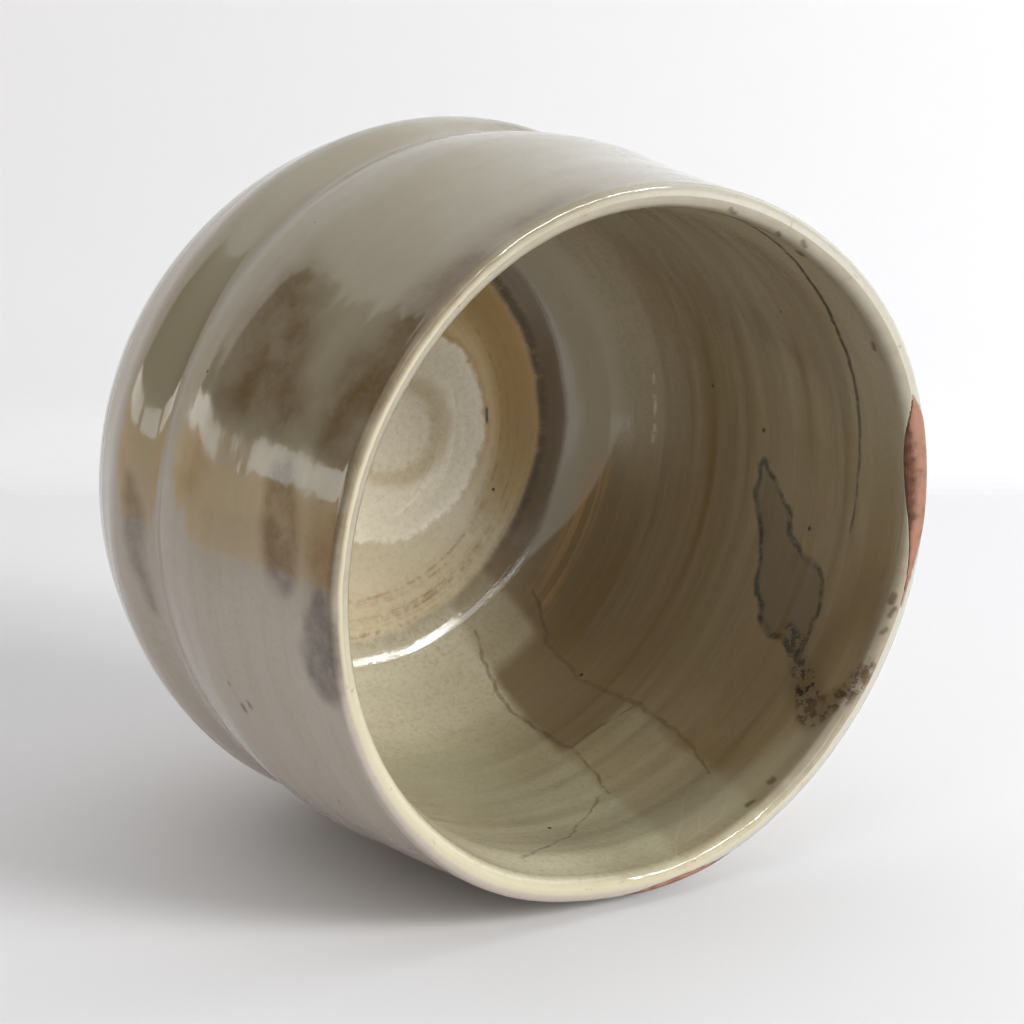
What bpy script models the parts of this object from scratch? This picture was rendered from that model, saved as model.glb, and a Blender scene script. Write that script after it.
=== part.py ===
"""A small thrown sake cup: a clay body on a turned foot ring, a glaze coat outside and another inside
that meet on the lip, and two chips of the lip filled with lacquer."""

import math

import bmesh
import bpy
import numpy as np

MM = 0.001

# Clay body, outside: wall from the lip down over two throwing ridges to the turned foot
CLAY_HEIGHT = 57.2 * MM
LIP_RADIUS = 31.6 * MM
LIP_THICKNESS = 0.8 * MM
BELLY_RADIUS = 32.5 * MM
BELLY_HEIGHT = 24.5 * MM
UPPER_WALL_FULLNESS = 2.15
LOWER_WALL_FULLNESS = 1.75
UPPER_RIDGE_HEIGHT = 36.2 * MM
UPPER_RIDGE_RISE = 0.65 * MM
UPPER_RIDGE_SPREAD = 3.2 * MM
GROOVE_HEIGHT = 30.0 * MM
GROOVE_DEPTH = 0.6 * MM
GROOVE_SPREAD = 2.4 * MM
LOWER_RIDGE_HEIGHT = 24.5 * MM
LOWER_RIDGE_RISE = 0.25 * MM
LOWER_RIDGE_SPREAD = 3.0 * MM

# Clay body, inside: a roll below the mouth, a round-cornered well with a thrower's groove, and a sunk middle
BELLY_WALL = 2.2 * MM
MOUTH_ROLL_DROP = 4.5 * MM
MOUTH_ROLL_RISE = 0.6 * MM
WELL_SHOULDER_HEIGHT = 33.0 * MM
FLOOR_HEIGHT = 9.2 * MM
WELL_SQUARENESS = 3.0
CORNER_GROOVE_RADIUS = 22.3 * MM
CORNER_GROOVE_DEPTH = 0.3 * MM
CORNER_GROOVE_SPREAD = 1.2 * MM
WELL_DISC_RADIUS = 14.1 * MM
WELL_DISC_DEPTH = 0.3 * MM
WELL_DISC_SPREAD = 0.5 * MM

# Turned foot ring
FOOT_RADIUS = 17.2 * MM
FOOT_HEIGHT = 4.6 * MM
FOOT_TAPER = 0.8 * MM
FOOT_RING_WIDTH = 4.0 * MM
FOOT_EDGE = 0.5 * MM
FOOT_RECESS = 3.2 * MM
FOOT_RECESS_DOME = 0.6 * MM

# Glaze coats and the fit between pieces
COAT = 0.4 * MM
CLEARANCE = 0.3 * MM
GLAZE_LINE_HEIGHT = 7.5 * MM

# Lacquer-filled chips: azimuth of the middle, greatest depth below the glazed lip, slope of the break
LONG_CHIP_AZIMUTH = math.radians(176.0)
LONG_CHIP_DEPTH = 1.3 * MM
LONG_CHIP_SLOPE = math.radians(45.0)
SHORT_CHIP_AZIMUTH = math.radians(96.4)
SHORT_CHIP_DEPTH = 0.9 * MM
SHORT_CHIP_SLOPE = math.radians(15.0)
BREAK_BLOCK = 30.0 * MM
LIP_BLANK_DROP = 10.0 * MM

# Facets: turns round the axis, points drawn along a curve, and how far a facet may leave it
TURNS = 56
CURVE_POINTS = 240
FACET_TOLERANCE = 0.07 * MM

lip_round = LIP_THICKNESS / 2
lip_middle_radius = LIP_RADIUS - lip_round
lip_middle_height = CLAY_HEIGHT - lip_round
coat_reach = CLEARANCE + COAT


def swell(position, middle, rise, spread):
    """Height of a smooth ridge, or of a groove where rise is negative, at a position along a wall."""
    return rise * np.exp(-(((position - middle) / spread) ** 2))


def outer_wall():
    """Clay outside from the foot up to the lip, as (radius, height) points."""
    turn = np.linspace(math.pi / 2, 0, CURVE_POINTS)
    drop = np.sin(turn) ** (2 / LOWER_WALL_FULLNESS)
    low_radius = FOOT_RADIUS + (BELLY_RADIUS - FOOT_RADIUS) * np.cos(turn)
    low_height = BELLY_HEIGHT - (BELLY_HEIGHT - FOOT_HEIGHT) * drop
    climb = np.linspace(0, 1, CURVE_POINTS)[1:]
    high_radius = BELLY_RADIUS + (LIP_RADIUS - BELLY_RADIUS) * climb**UPPER_WALL_FULLNESS
    high_height = BELLY_HEIGHT + (lip_middle_height - BELLY_HEIGHT) * climb
    radius = np.concatenate([low_radius, high_radius])
    height = np.concatenate([low_height, high_height])
    radius = radius + swell(height, UPPER_RIDGE_HEIGHT, UPPER_RIDGE_RISE, UPPER_RIDGE_SPREAD)
    radius = radius + swell(height, LOWER_RIDGE_HEIGHT, LOWER_RIDGE_RISE, LOWER_RIDGE_SPREAD)
    radius = radius - swell(height, GROOVE_HEIGHT, GROOVE_DEPTH, GROOVE_SPREAD)
    return np.stack([radius, height], axis=1)


def lip_arc():
    """The half-round edge of the clay, from its outer side over the crest to its inner side."""
    turn = np.linspace(0, math.pi, CURVE_POINTS // 4)[1:-1]
    radius = lip_middle_radius + lip_round * np.cos(turn)
    height = lip_middle_height + lip_round * np.sin(turn)
    return np.stack([radius, height], axis=1)


def inner_wall():
    """Clay inside from the lip down to the middle of the floor, as (radius, height) points."""
    well_radius = BELLY_RADIUS - BELLY_WALL
    fall = np.linspace(1, 0, CURVE_POINTS)[:-1]
    mouth_radius = LIP_RADIUS - LIP_THICKNESS
    high_radius = well_radius + (mouth_radius - well_radius) * fall**UPPER_WALL_FULLNESS
    high_height = WELL_SHOULDER_HEIGHT + (lip_middle_height - WELL_SHOULDER_HEIGHT) * fall
    below = ((lip_middle_height - high_height) / MOUTH_ROLL_DROP) ** 2
    high_radius = high_radius - MOUTH_ROLL_RISE * below * np.exp(1 - below)
    turn = np.linspace(math.pi / 2, 0, CURVE_POINTS)
    low_radius = well_radius * np.sin(turn) ** (2 / WELL_SQUARENESS)
    low_rise = 1 - np.cos(turn) ** (2 / WELL_SQUARENESS)
    low_height = FLOOR_HEIGHT + (WELL_SHOULDER_HEIGHT - FLOOR_HEIGHT) * low_rise
    low_height = low_height - swell(low_radius, CORNER_GROOVE_RADIUS, CORNER_GROOVE_DEPTH, CORNER_GROOVE_SPREAD)
    edge = np.exp((low_radius - WELL_DISC_RADIUS) / WELL_DISC_SPREAD)
    low_height = low_height - WELL_DISC_DEPTH / (1 + edge)
    radius = np.concatenate([high_radius, low_radius])
    height = np.concatenate([high_height, low_height])
    return np.stack([radius, height], axis=1)


def foot_profile():
    """Foot ring and the recess inside it, from the outer corner under the wall to the axis."""
    outside = FOOT_RADIUS - FOOT_TAPER
    inside = outside - FOOT_RING_WIDTH
    return [
        (outside, FOOT_EDGE),
        (outside - FOOT_EDGE, 0),
        (inside + FOOT_EDGE, 0),
        (inside, FOOT_EDGE),
        (inside - FOOT_TAPER, FOOT_RECESS),
        (0, FOOT_RECESS + FOOT_RECESS_DOME),
    ]


def moved_out(curve, distance):
    """A curve moved sideways, away from the clay, on a curve that climbs outside and falls inside."""
    along = np.gradient(curve, axis=0)
    along = along / np.linalg.norm(along, axis=1)[:, None]
    away = np.stack([along[:, 1], -along[:, 0]], axis=1)
    return curve + away * distance


def thinned(curve):
    """The fewest of a curve's points whose straight runs stay within the facet tolerance of it."""
    start, end = curve[0], curve[-1]
    chord = end - start
    length = max(np.linalg.norm(chord), 1e-9)
    off = np.abs(chord[0] * (curve[:, 1] - start[1]) - chord[1] * (curve[:, 0] - start[0])) / length
    far = int(np.argmax(off))
    if off[far] <= FACET_TOLERANCE or far in (0, len(curve) - 1):
        return [tuple(start), tuple(end)]
    return thinned(curve[: far + 1])[:-1] + thinned(curve[far:])


def painted(name, colour, roughness):
    """A dielectric surface of one colour."""
    material = bpy.data.materials.new(name)
    material.use_nodes = True
    shader = material.node_tree.nodes["Principled BSDF"]
    shader.inputs["Base Color"].default_value = (*colour, 1)
    shader.inputs["Roughness"].default_value = roughness
    shader.inputs["Metallic"].default_value = 0
    return material


def turned(name, outline, ring):
    """A solid turned about the upright axis from an outline that runs down its outer side.
    A ring's outline closes on itself, and any other starts and ends on the axis."""
    mesh = bpy.data.meshes.new(name)
    count = len(outline)
    points = [(radius, 0, height) for radius, height in outline]
    edges = [(i, (i + 1) % count) for i in range(count if ring else count - 1)]
    mesh.from_pydata(points, edges, [])
    piece = bpy.data.objects.new(name, mesh)
    bpy.context.scene.collection.objects.link(piece)
    screw = piece.modifiers.new("turning", "SCREW")
    screw.axis = "Z"
    screw.steps = TURNS
    screw.render_steps = TURNS
    screw.use_merge_vertices = True
    screw.merge_threshold = 0.00001
    screw.use_smooth_shade = True
    return piece


def break_block(name, azimuth, depth, slope):
    """A block whose inner face is the plane of a break: depth below the glazed lip, facing out and up."""
    facing = np.array([math.cos(slope), math.sin(slope)])
    face = np.array([lip_middle_radius, lip_middle_height]) + facing * (lip_round + coat_reach - depth)
    radius, height = face + facing * BREAK_BLOCK / 2
    mesh = bpy.data.meshes.new(name)
    cube = bmesh.new()
    bmesh.ops.create_cube(cube, size=BREAK_BLOCK)
    cube.to_mesh(mesh)
    cube.free()
    block = bpy.data.objects.new(name, mesh)
    block.location = (radius * math.cos(azimuth), radius * math.sin(azimuth), height)
    block.rotation_euler = (0, -slope, azimuth)
    bpy.context.scene.collection.objects.link(block)
    return block


def kept_out_of_sight(helper):
    helper.hide_render = True
    helper.display_type = "WIRE"


def combined(piece, helper, operation):
    """Cuts a helper from a piece, or keeps only what lies inside the helper."""
    step = piece.modifiers.new(helper.name, "BOOLEAN")
    step.operation = operation
    step.object = helper
    step.solver = "EXACT"


for old in list(bpy.data.objects):
    bpy.data.objects.remove(old)

outside = outer_wall()
crest = lip_arc()
inside = inner_wall()
over_lip = np.concatenate([outside, crest, inside])

# Clay body, thrown in one piece and turned at the foot
clay_outline = thinned(over_lip)[::-1] + foot_profile()
clay_body = turned("clay_body", clay_outline, ring=False)
clay_body.data.materials.append(painted("fired_clay", (0.42, 0.33, 0.23), 0.85))

# Each coat follows the clay up to the crest of the lip, where the two leave a seam one clearance wide
seam_turn = math.asin(min(1, CLEARANCE / 2 / (lip_round + CLEARANCE)))
crest_turn = np.arctan2(crest[:, 1] - lip_middle_height, crest[:, 0] - lip_middle_radius)
outer_half = crest[crest_turn < math.pi / 2 - seam_turn]
inner_half = crest[crest_turn > math.pi / 2 + seam_turn]
glazed_outside = np.concatenate([outside[outside[:, 1] > GLAZE_LINE_HEIGHT], outer_half])
glazed_inside = np.concatenate([inner_half, inside])


def coat_outline(curve):
    face = thinned(moved_out(curve, coat_reach))
    back = thinned(moved_out(curve, CLEARANCE))
    return face, back


# Outside coat, from the glaze line above the foot up to the lip
face, back = coat_outline(glazed_outside)
outer_glaze = turned("outer_glaze", face[::-1] + back, ring=True)
outer_glaze.data.materials.append(painted("outside_glaze", (0.36, 0.33, 0.27), 0.12))

# Inside coat, from the lip down to the middle of the well
face, back = coat_outline(glazed_inside)
on_axis = [(0, face[-1][1])], [(0, back[-1][1])]
inner_glaze = turned("inner_glaze", on_axis[0] + face[-2::-1] + back[:-1] + on_axis[1], ring=False)
inner_glaze.data.materials.append(painted("inside_glaze", (0.30, 0.25, 0.16), 0.12))

# Glazed lip as it was before it chipped, the blank that both fills are shaped from
lip_top = over_lip[over_lip[:, 1] > CLAY_HEIGHT - LIP_BLANK_DROP]
lip_blank = turned("lip_blank", thinned(moved_out(lip_top, coat_reach))[::-1], ring=True)
kept_out_of_sight(lip_blank)

# Chips broken off the lip, and a lacquer fill seated in each
lacquer = painted("red_brown_lacquer", (0.26, 0.09, 0.06), 0.35)
chips = {
    "long_lip_fill": (LONG_CHIP_AZIMUTH, LONG_CHIP_DEPTH, LONG_CHIP_SLOPE),
    "short_lip_fill": (SHORT_CHIP_AZIMUTH, SHORT_CHIP_DEPTH, SHORT_CHIP_SLOPE),
}
for fill_name, (azimuth, depth, slope) in chips.items():
    chip = break_block(fill_name + "_break", azimuth, depth, slope)
    kept_out_of_sight(chip)
    for chipped in (clay_body, outer_glaze, inner_glaze):
        combined(chipped, chip, "DIFFERENCE")
    fill = break_block(fill_name, azimuth, depth - CLEARANCE, slope)
    fill.data.materials.append(lacquer)
    combined(fill, lip_blank, "INTERSECT")
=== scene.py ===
import math

import bpy
import numpy as np
from mathutils import Matrix, Vector


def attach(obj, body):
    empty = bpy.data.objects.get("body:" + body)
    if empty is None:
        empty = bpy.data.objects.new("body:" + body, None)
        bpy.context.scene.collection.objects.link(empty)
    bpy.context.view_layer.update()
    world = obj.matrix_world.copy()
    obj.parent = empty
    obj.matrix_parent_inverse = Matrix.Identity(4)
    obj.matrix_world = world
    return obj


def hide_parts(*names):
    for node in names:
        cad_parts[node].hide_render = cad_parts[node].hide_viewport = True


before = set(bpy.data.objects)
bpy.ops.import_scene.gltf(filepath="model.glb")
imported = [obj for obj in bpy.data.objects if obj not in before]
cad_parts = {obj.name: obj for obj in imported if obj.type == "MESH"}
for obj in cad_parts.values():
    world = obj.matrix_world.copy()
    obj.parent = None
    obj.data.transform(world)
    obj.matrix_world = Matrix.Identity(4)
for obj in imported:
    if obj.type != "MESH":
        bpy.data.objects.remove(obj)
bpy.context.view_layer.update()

# Clay body: stoneware thrown in one piece on the wheel, with a thin lip that isn't quite round or level,
# two throwing ridges left round the belly, and a foot ring turned from the leather-hard underside. Only
# the foot and the underside stay bare: the rest lies under the glaze coats.
MM = 0.001
CLAY_HEIGHT = 57.2
LIP_RADIUS = 31.6
LIP_THICKNESS = 0.8
BELLY_RADIUS = 32.5
BELLY_HEIGHT = 24.5
UPPER_WALL_FULLNESS = 2.15
LOWER_WALL_FULLNESS = 1.75
RIDGES = ((37.6, 0.6, 4.8), (23.5, 0.34, 3.0), (28.8, -0.48, 2.3))
BELLY_WALL = 2.2
MOUTH_ROLL_DROP = 4.5
MOUTH_ROLL_RISE = 0.6
WELL_SHOULDER_HEIGHT = 33.0
FLOOR_HEIGHT = 9.2
WELL_SQUARENESS = 3.0
CORNER_DIPS = ((25.0, 1.25, 3.6), (20.5, 0.3, 4.0))
WELL_DISC_RADIUS = 14.1
WELL_DISC_DEPTH = 0.1
WELL_DISC_SPREAD = 0.8
FOOT_RADIUS = 17.2
FOOT_HEIGHT = 4.6
FOOT_TAPER = 0.8
FOOT_RING_WIDTH = 4.0
FOOT_EDGE = 0.5
FOOT_RECESS = 3.2
FOOT_RECESS_DOME = 0.6
OUT_OF_ROUND = 0.15
OUT_OF_ROUND_START = 0.7
LIP_DENTS = ((-122, 26, -0.5), (80, 14, -0.35), (-165, 30, 0.1), (-5, 45, -0.2))
LIP_DENT_REACH = 12.0
WALL_BULGES = ((52, 22, 46, 9, 0.3), (-70, 40, 25, 8, 0.2), (30, 25, 33, 10, -0.25))
LIP_WAVES = ((2, 0.6, 0.12), (3, 2.1, 0.08), (7, 1.0, 0.05))
CLAY_TURNS = 192
CURVE_POINTS = 400

lip_round = LIP_THICKNESS / 2
lip_middle_radius = LIP_RADIUS - lip_round
lip_middle_height = CLAY_HEIGHT - lip_round


def swell(position, middle, rise, spread):
    return rise * np.exp(-(((position - middle) / spread) ** 2))


def clay_outside():
    """(radius, height) from the foot up to the lip."""
    turn = np.linspace(math.pi / 2, 0, CURVE_POINTS)
    drop = np.sin(turn) ** (2 / LOWER_WALL_FULLNESS)
    low_radius = FOOT_RADIUS + (BELLY_RADIUS - FOOT_RADIUS) * np.cos(turn)
    low_height = BELLY_HEIGHT - (BELLY_HEIGHT - FOOT_HEIGHT) * drop
    climb = np.linspace(0, 1, CURVE_POINTS)[1:]
    high_radius = BELLY_RADIUS + (LIP_RADIUS - BELLY_RADIUS) * climb**UPPER_WALL_FULLNESS
    high_height = BELLY_HEIGHT + (lip_middle_height - BELLY_HEIGHT) * climb
    radius = np.concatenate([low_radius, high_radius])
    height = np.concatenate([low_height, high_height])
    for ridge in RIDGES:
        radius = radius + swell(height, *ridge)
    return np.stack([radius, height], axis=1)


def lip_edge(half_thickness, squareness):
    """The edge from its outer side over the crest to its inner side, round inside and squarer outside."""
    turn = np.linspace(0, math.pi, CURVE_POINTS // 4)[1:-1]
    power = np.where(turn < math.pi / 2, 2 / squareness, 1)
    across = np.sign(np.cos(turn)) * np.abs(np.cos(turn)) ** power
    radius = lip_middle_radius + half_thickness * across
    height = lip_middle_height + half_thickness * np.sin(turn) ** power
    return np.stack([radius, height], axis=1)


def clay_inside():
    """(radius, height) from the lip down the wall of the well to the middle of its floor."""
    well_radius = BELLY_RADIUS - BELLY_WALL
    fall = np.linspace(1, 0, CURVE_POINTS)[:-1]
    mouth_radius = LIP_RADIUS - LIP_THICKNESS
    high_radius = well_radius + (mouth_radius - well_radius) * fall**UPPER_WALL_FULLNESS
    high_height = WELL_SHOULDER_HEIGHT + (lip_middle_height - WELL_SHOULDER_HEIGHT) * fall
    below = ((lip_middle_height - high_height) / MOUTH_ROLL_DROP) ** 2
    high_radius = high_radius - MOUTH_ROLL_RISE * below * np.exp(1 - below)
    turn = np.linspace(math.pi / 2, 0, CURVE_POINTS)
    low_radius = well_radius * np.sin(turn) ** (2 / WELL_SQUARENESS)
    low_rise = 1 - np.cos(turn) ** (2 / WELL_SQUARENESS)
    low_height = FLOOR_HEIGHT + (WELL_SHOULDER_HEIGHT - FLOOR_HEIGHT) * low_rise
    for dip in CORNER_DIPS:
        low_height = low_height - swell(low_radius, *dip)
    edge = np.exp((low_radius - WELL_DISC_RADIUS) / WELL_DISC_SPREAD)
    low_height = low_height - WELL_DISC_DEPTH / (1 + edge)
    radius = np.concatenate([high_radius, low_radius])
    height = np.concatenate([high_height, low_height])
    return np.stack([radius, height], axis=1)


def foot_profile():
    """Foot ring and the recess inside it, from under the wall to the axis."""
    outside = FOOT_RADIUS - FOOT_TAPER
    inside = outside - FOOT_RING_WIDTH
    corners = [
        (FOOT_RADIUS, FOOT_HEIGHT),
        (outside, FOOT_EDGE),
        (outside - FOOT_EDGE, 0),
        (inside + FOOT_EDGE, 0),
        (inside, FOOT_EDGE),
        (inside - FOOT_TAPER, FOOT_RECESS),
        (0, FOOT_RECESS + FOOT_RECESS_DOME),
    ]
    return np.array(corners)


def lengths(curve):
    """Distance along a curve to each of its points."""
    return np.concatenate([[0], np.cumsum(np.linalg.norm(np.diff(curve, axis=0), axis=1))])


def read_along(curve, places):
    """Points of a curve at the given distances along it."""
    run = lengths(curve)
    return np.stack([np.interp(places, run, curve[:, 0]), np.interp(places, run, curve[:, 1])], axis=-1)


def evenly(curve, spacing):
    run = lengths(curve)[-1]
    return read_along(curve, np.linspace(0, run, max(2, round(run / spacing) + 1)))


def moved_out(curve, distance):
    """A curve moved sideways, away from the clay."""
    along = np.gradient(curve, axis=0)
    along = along / np.linalg.norm(along, axis=1)[:, None]
    away = np.stack([along[:, 1], -along[:, 0]], axis=1)
    return curve + away * distance


def turned_between(angle, middle):
    """Angle from a middle in degrees, the short way round, in degrees."""
    return (np.degrees(angle) - middle + 180) % 360 - 180


def hump(distance, spread):
    return np.exp(-((distance / spread) ** 2))


def as_thrown(radius, height, angle, outer):
    """Points round the axis with the hand of the potter: a lip not quite round or level, a bulged wall."""
    near_lip = hump(CLAY_HEIGHT - height, LIP_DENT_REACH)
    change = OUT_OF_ROUND * np.cos(2 * angle - OUT_OF_ROUND_START) * radius / LIP_RADIUS
    for middle, spread, depth in LIP_DENTS:
        change = change + depth * hump(turned_between(angle, middle), spread) * near_lip
    for middle, spread, at_height, tall, depth in WALL_BULGES:
        bulge = depth * outer * hump(height - at_height, tall)
        change = change + bulge * hump(turned_between(angle, middle), spread)
    for waves, start, rise in LIP_WAVES:
        height = height + rise * np.sin(waves * angle + start) * near_lip
    radius = radius + change
    return np.stack([radius * np.cos(angle), radius * np.sin(angle), height], axis=-1)


def band_faces(rows, turns, first=0):
    """Quads of a grid of points that closes on itself round the axis."""
    row, column = np.meshgrid(np.arange(rows - 1), np.arange(turns), indexing="ij")
    here = first + row * turns + column
    beside = first + row * turns + (column + 1) % turns
    return np.stack([here, beside, beside + turns, here + turns], axis=-1).reshape(-1, 4)


def fan_faces(ring_start, turns, middle, outward):
    """Triangles from the last ring of a grid to one point on the axis."""
    column = np.arange(turns)
    here = ring_start + column
    beside = ring_start + (column + 1) % turns
    pair = (here, beside) if outward else (beside, here)
    return np.stack([*pair, np.full(turns, middle)], axis=-1)


def new_piece(name, points, faces):
    mesh = bpy.data.meshes.new(name)
    mesh.from_pydata((np.asarray(points) * MM).tolist(), [], faces)
    mesh.polygons.foreach_set("use_smooth", np.ones(len(mesh.polygons), dtype=bool))
    mesh.update()
    piece = bpy.data.objects.new(name, mesh)
    bpy.context.scene.collection.objects.link(piece)
    return piece


CLAY_UNDER_GLAZE = 0.28
CLAY_SPACING = 0.8
FOOT_SPACING = 0.5
ROUND_EDGE = 2
GLAZE_RAMP_START = 2.0
GLAZE_RAMP_LENGTH = 3.0
clay_wall = np.concatenate([clay_outside(), lip_edge(lip_round, ROUND_EDGE), clay_inside()])
raised = CLAY_UNDER_GLAZE * np.clip((lengths(clay_wall) - GLAZE_RAMP_START) / GLAZE_RAMP_LENGTH, 0, 1)
clay_curve = evenly(moved_out(clay_wall, raised[:, None]), CLAY_SPACING)[::-1]
clay_rows = np.concatenate([clay_curve[1:], evenly(foot_profile(), FOOT_SPACING)[1:-1]])
clay_outer = np.arange(len(clay_rows)) > np.argmax(clay_rows[:, 1])
clay_turns = np.linspace(0, 2 * math.pi, CLAY_TURNS, endpoint=False)
clay_grid = as_thrown(clay_rows[:, 0][:, None], clay_rows[:, 1][:, None], clay_turns, clay_outer[:, None])
clay_points = clay_grid.reshape(-1, 3)
clay_top, clay_bottom = len(clay_points), len(clay_points) + 1
underside = FOOT_RECESS + FOOT_RECESS_DOME
clay_points = np.concatenate([clay_points, [[0, 0, clay_curve[0][1]], [0, 0, underside]]])
clay_faces = band_faces(len(clay_rows), CLAY_TURNS)[:, ::-1].tolist()
clay_faces += fan_faces(0, CLAY_TURNS, clay_top, True).tolist()
clay_faces += fan_faces((len(clay_rows) - 1) * CLAY_TURNS, CLAY_TURNS, clay_bottom, False).tolist()
clay = new_piece("bare_clay", clay_points, clay_faces)


def new_material(name):
    material = bpy.data.materials.new(name)
    material.use_nodes = True
    tree = material.node_tree
    return material, tree, tree.nodes["Principled BSDF"]


def join(tree, value, socket):
    """Feeds a socket from another one, or sets it."""
    if isinstance(value, bpy.types.NodeSocket):
        tree.links.new(value, socket)
    else:
        socket.default_value = value


def put(tree, kind, inputs=(), **options):
    """Adds a node with its options, and feeds its inputs by name or number."""
    node = tree.nodes.new("ShaderNode" + kind)
    for name, value in options.items():
        setattr(node, name, value)
    for name, value in dict(inputs).items():
        join(tree, value, node.inputs[name])
    return node


def maths(tree, operation, first, second=0.0, third=0.0):
    return put(tree, "Math", {0: first, 1: second, 2: third}, operation=operation).outputs[0]


def vectors(tree, operation, first, second=(0, 0, 0), third=(0, 0, 0)):
    node = put(tree, "VectorMath", {0: first, 1: second, 2: third}, operation=operation)
    return node.outputs["Value" if operation in ("DOT_PRODUCT", "LENGTH", "DISTANCE") else "Vector"]


def times(tree, first, *others):
    for other in others:
        first = maths(tree, "MULTIPLY", first, other)
    return first


def stretched(tree, point, factor):
    return put(tree, "VectorMath", {0: point, "Scale": factor}, operation="SCALE").outputs["Vector"]


def graded(tree, value, low, high, at_low=0.0, at_high=1.0):
    """A soft step between two values."""
    limits = {"Value": value, "From Min": low, "From Max": high, "To Min": at_low, "To Max": at_high}
    return put(tree, "MapRange", limits, interpolation_type="SMOOTHSTEP").outputs["Result"]


def fading(tree, value, low, high, at_low=1.0):
    """A soft step down to nothing."""
    return graded(tree, value, low, high, at_low, 0.0)


def within(tree, value, low, high, soft):
    """1 between two values and 0 outside them, with soft edges."""
    rising = graded(tree, value, low - soft, low + soft)
    return times(tree, rising, fading(tree, value, high - soft, high + soft))


def blended(tree, mask, under, over):
    node = put(tree, "Mix", {0: mask}, data_type="RGBA", clamp_factor=True)
    join(tree, under if isinstance(under, bpy.types.NodeSocket) else (*under, 1), node.inputs[6])
    join(tree, over if isinstance(over, bpy.types.NodeSocket) else (*over, 1), node.inputs[7])
    return node.outputs[2]


class Layers:
    """The colours of a material, laid over one another."""

    def __init__(self, tree, colour):
        self.tree = tree
        self.top = colour

    def lay(self, colour, *masks):
        """Lays a colour over the ones before, as far as all its masks let it."""
        self.top = blended(self.tree, times(self.tree, *masks), self.top, colour)


def cloud(tree, point, size, detail=3.0, roughness=0.5):
    """Soft noise from 0 to 1, with lumps of a size in mm."""
    settings = {"Vector": point, "Scale": 1 / size, "Detail": detail, "Roughness": roughness}
    return put(tree, "TexNoise", settings).outputs[0]


def surface_point(tree):
    """The place on the cup in mm."""
    return stretched(tree, put(tree, "TexCoord").outputs["Object"], 1 / MM)


def new_group(name, inputs, outputs):
    """A shader node group with value or vector inputs and value outputs, and its two end nodes."""
    group = bpy.data.node_groups.new(name, "ShaderNodeTree")
    for socket, kind in inputs:
        group.interface.new_socket(socket, in_out="INPUT", socket_type="NodeSocket" + kind)
    for socket in outputs:
        group.interface.new_socket(socket, in_out="OUTPUT", socket_type="NodeSocketFloat")
    return group, group.nodes.new("NodeGroupInput"), group.nodes.new("NodeGroupOutput")


def use_group(tree, group, inputs):
    node = tree.nodes.new("ShaderNodeGroup")
    node.node_tree = group
    for name, value in inputs.items():
        join(tree, value, node.inputs[name])
    return node.outputs


# Lines that the potter's fingers and tools leave round the axis: they follow the wall up and the floor in.
ring_sockets = [("Point", "Vector"), ("Spacing", "Float")]
ring_group, ring_in, ring_out = new_group("turning_lines", ring_sockets, ["Lines"])
ring_parts = put(ring_group, "SeparateXYZ", {0: ring_in.outputs["Point"]})
ring_flat = put(ring_group, "CombineXYZ", {0: ring_parts.outputs[0], 1: ring_parts.outputs[1]}).outputs[0]
ring_run = maths(ring_group, "ADD", ring_parts.outputs[2], vectors(ring_group, "LENGTH", ring_flat))
ring_run = maths(ring_group, "DIVIDE", ring_run, ring_in.outputs["Spacing"])
ring_slow = put(ring_group, "SeparateXYZ", {0: stretched(ring_group, ring_flat, 0.035)})
ring_place = put(ring_group, "CombineXYZ", {0: ring_slow.outputs[0], 1: ring_slow.outputs[1], 2: ring_run})
ring_noise = put(ring_group, "TexNoise", {"Vector": ring_place.outputs[0], "Scale": 1.0, "Detail": 4.0})
join(ring_group, ring_noise.outputs[0], ring_out.inputs["Lines"])

# Small round pits and specks of iron in the body.
pit_sockets = [("Point", "Vector"), ("Spacing", "Float"), ("Size", "Float")]
pit_group, pit_in, pit_out = new_group("pits", pit_sockets, ["Mask"])
pit_scale = maths(pit_group, "DIVIDE", 1.0, pit_in.outputs["Spacing"])
pit_cells = put(pit_group, "TexVoronoi", {"Vector": pit_in.outputs["Point"], "Scale": pit_scale})
pit_far = times(pit_group, pit_cells.outputs["Distance"], pit_in.outputs["Spacing"])
pit_edge = times(pit_group, pit_in.outputs["Size"], 0.5)
pit_mask = fading(pit_group, pit_far, pit_edge, pit_in.outputs["Size"])
join(pit_group, pit_mask, pit_out.inputs["Mask"])

CLAY_COLOUR = (0.33, 0.24, 0.15)
CLAY_DARK = (0.24, 0.16, 0.095)
CLAY_SPECK = (0.07, 0.045, 0.03)
clay_material, clay_tree, clay_shader = new_material("fired_clay")
clay_point = surface_point(clay_tree)
clay_lines = use_group(clay_tree, ring_group, {"Point": clay_point, "Spacing": 0.9})["Lines"]
clay_patches = graded(clay_tree, cloud(clay_tree, clay_point, 7.0, 5.0), 0.4, 0.65)
clay_specks = use_group(clay_tree, pit_group, {"Point": clay_point, "Spacing": 1.6, "Size": 0.3})["Mask"]
clay_grit = cloud(clay_tree, clay_point, 0.35, 2.0)
clay_colour = Layers(clay_tree, CLAY_COLOUR)
clay_colour.lay(CLAY_DARK, clay_patches)
clay_colour.lay(CLAY_DARK, graded(clay_tree, clay_lines, 0.5, 0.75, 0.0, 0.45))
clay_colour.lay(CLAY_SPECK, clay_specks)
join(clay_tree, clay_colour.top, clay_shader.inputs["Base Color"])
clay_relief = maths(clay_tree, "ADD", clay_lines, times(clay_tree, clay_grit, 0.5))
clay_bump = put(clay_tree, "Bump", {"Height": clay_relief, "Distance": 0.12 * MM, "Strength": 0.8})
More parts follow.
